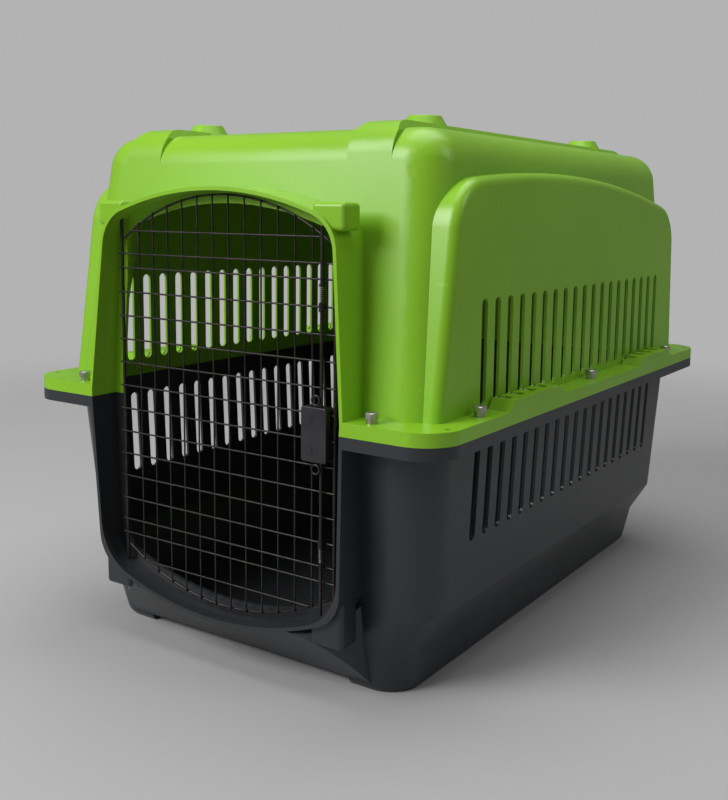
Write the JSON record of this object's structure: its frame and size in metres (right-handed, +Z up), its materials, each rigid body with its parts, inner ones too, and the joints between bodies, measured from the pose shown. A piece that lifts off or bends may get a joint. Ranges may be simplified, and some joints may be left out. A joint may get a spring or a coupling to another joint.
{
  "type": "plastic pet kennel",
  "caption": "Two-part plastic pet kennel: dark tub, green vented canopy, bolted flanges, and a wire door on a hinge rod with spring-loaded squeeze latch bolts.",
  "frame": {"origin": "centre of the kennel's footprint, on the ground that it stands on", "axes": "+Z up, +Y from the door towards the back wall, +X to the side that the latch is on"},
  "size_m": [0.576, 0.8, 0.605],
  "materials": {
    "tub_plastic": "semi-gloss moulded charcoal plastic",
    "canopy_plastic": "glossy moulded lime-green plastic",
    "zinc": "zinc-plated steel",
    "wire_paint": "dark powder-coated steel wire",
    "cover_paint": "dark grey powder coat",
    "spring_steel": "bare spring steel"
  },
  "bodies": {
    "shell": {"lower_shell": "tub_plastic", "upper_shell": "canopy_plastic", "flange_bolts": "zinc", "bolt_spacers": "zinc", "bolt_washers": "zinc", "bolt_nuts": "zinc"},
    "door": {"door_hinge_rod": "wire_paint", "door_latch_side_rod": "wire_paint", "door_head_wire": "wire_paint", "door_sill_wire": "wire_paint", "door_upright_wires": "wire_paint", "door_cross_wires": "wire_paint", "latch_cover": "cover_paint", "latch_back_plate": "wire_paint", "latch_rivets": "spring_steel", "upper_bolt_guide": "wire_paint", "lower_bolt_guide": "wire_paint", "upper_latch_spring": "spring_steel", "lower_latch_spring": "spring_steel"},
    "upper_latch": {"upper_latch_bolt": "wire_paint", "upper_finger_loop": "wire_paint", "upper_bolt_collar": "wire_paint"},
    "lower_latch": {"lower_latch_bolt": "wire_paint", "lower_finger_loop": "wire_paint", "lower_bolt_collar": "wire_paint"}
  },
  "joints": [
    {"name": "door_swing", "type": "hinge", "parent": "shell", "child": "door", "pos_m": [-0.151, -0.372, 0.289], "axis": [0, 0, -1], "range_deg": [0, 90]},
    {"name": "upper_bolt_slide", "type": "slide", "parent": "door", "child": "upper_latch", "axis": [0, 0, 1], "range_m": [0, 0.016], "stiffness_N_per_m": 120, "springref_m": 0.022, "deforming": ["upper_latch_spring"]},
    {"name": "lower_bolt_slide", "type": "slide", "parent": "door", "child": "lower_latch", "axis": [0, 0, -1], "range_m": [0, 0.016], "stiffness_N_per_m": 120, "springref_m": 0.022, "deforming": ["lower_latch_spring"]}
  ]
}
